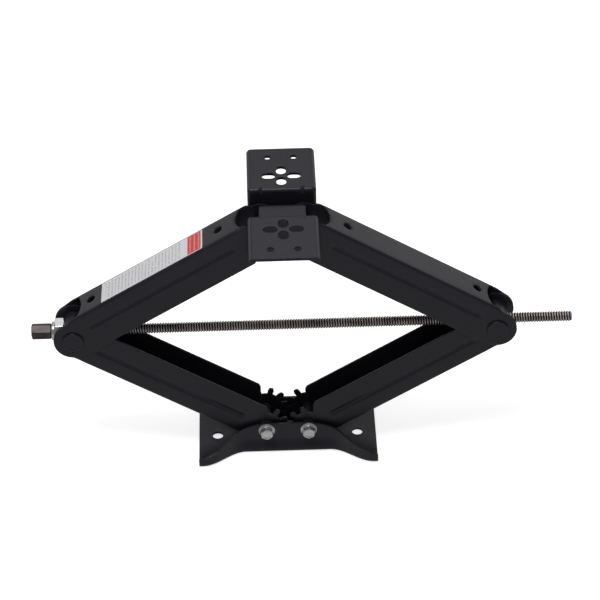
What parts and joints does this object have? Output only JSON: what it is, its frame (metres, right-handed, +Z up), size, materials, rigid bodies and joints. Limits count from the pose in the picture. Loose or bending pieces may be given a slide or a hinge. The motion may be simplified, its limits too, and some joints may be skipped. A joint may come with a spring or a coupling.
{
  "type": "scissor stabilizer jack",
  "caption": "Scissor stabilizer jack: four geared channel arms on a pressed foot, a horizontal lead screw and a slotted top bracket.",
  "frame": {"origin": "on the ground, under the middle of the base", "axes": "+X along the lead screw towards its free end, +Z up to the top bracket, -Y is the side the bolt heads are on"},
  "size_m": [0.7079, 0.259, 0.374],
  "materials": {
    "black_paint": "satin powder coat",
    "zinc_plate": "bright zinc plate",
    "bare_steel": "oiled dark steel",
    "sticker": "blank vinyl sticker"
  },
  "bodies": {
    "base": {"base_plate": "black_paint", "base_bolts": "zinc_plate", "base_nuts": "zinc_plate", "pivot_sleeves": "bare_steel", "base_spacers": "bare_steel"},
    "lower_left": {"lower_arm_left": "black_paint"},
    "lower_right": {"lower_arm_right": "black_paint"},
    "upper_left": {"upper_arm_left": "black_paint", "arm_label": "sticker"},
    "upper_right": {"upper_arm_right": "black_paint"},
    "bracket": {"top_bracket_front": "black_paint", "top_bracket_back": "black_paint", "bracket_spacer": "black_paint", "bracket_washers": "bare_steel", "top_pins": "black_paint"},
    "drive_block": {"drive_trunnion": "black_paint", "drive_trunnion_caps": "black_paint", "bearing_race_fixed": "bare_steel"},
    "nut_block": {"nut_trunnion": "black_paint", "nut_trunnion_caps": "black_paint"},
    "screw": {"lead_screw": "bare_steel", "drive_head": "bare_steel", "thrust_collar": "zinc_plate", "collar_washer": "zinc_plate", "bearing_race_turning": "bare_steel", "bearing_balls": "bare_steel"}
  },
  "joints": [
    {"name": "lower_left_pivot", "type": "hinge", "parent": "base", "child": "lower_left", "pos_m": [-0.028, 0, 0.0325], "axis": [0, 1, 0], "range_deg": [-27, 36]},
    {"name": "lower_right_pivot", "type": "hinge", "parent": "base", "child": "lower_right", "pos_m": [0.028, 0, 0.0325], "axis": [0, 1, 0], "range_deg": [-36, 27]},
    {"name": "left_trunnion_pivot", "type": "hinge", "parent": "lower_left", "child": "upper_left", "pos_m": [-0.27691, 0, 0.18325], "axis": [0, 1, 0], "range_deg": [-72, 54]},
    {"name": "right_trunnion_pivot", "type": "hinge", "parent": "lower_right", "child": "upper_right", "pos_m": [0.27691, 0, 0.18325], "axis": [0, 1, 0], "range_deg": [-54, 72]},
    {"name": "drive_block_pivot", "type": "hinge", "parent": "lower_left", "child": "drive_block", "pos_m": [-0.27691, 0, 0.18325], "axis": [0, 1, 0], "range_deg": [-36, 27]},
    {"name": "nut_block_pivot", "type": "hinge", "parent": "lower_right", "child": "nut_block", "pos_m": [0.27691, 0, 0.18325], "axis": [0, 1, 0], "range_deg": [-27, 36]},
    {"name": "top_left_pivot", "type": "hinge", "parent": "upper_left", "child": "bracket", "pos_m": [-0.028, 0, 0.33399], "axis": [0, 1, 0], "range_deg": [-27, 36]},
    {"name": "screw_spin", "type": "hinge", "parent": "drive_block", "child": "screw", "pos_m": [-0.27691, 0, 0.18325], "axis": [1, 0, 0], "continuous": true}
  ],
  "couplings": [
    {"joint": "lower_right_pivot", "follows": "lower_left_pivot", "ratio": -1},
    {"joint": "left_trunnion_pivot", "follows": "lower_left_pivot", "ratio": -2},
    {"joint": "right_trunnion_pivot", "follows": "lower_left_pivot", "ratio": 2},
    {"joint": "drive_block_pivot", "follows": "lower_left_pivot", "ratio": -1},
    {"joint": "nut_block_pivot", "follows": "lower_left_pivot", "ratio": 1},
    {"joint": "top_left_pivot", "follows": "lower_left_pivot", "ratio": 1}
  ]
}
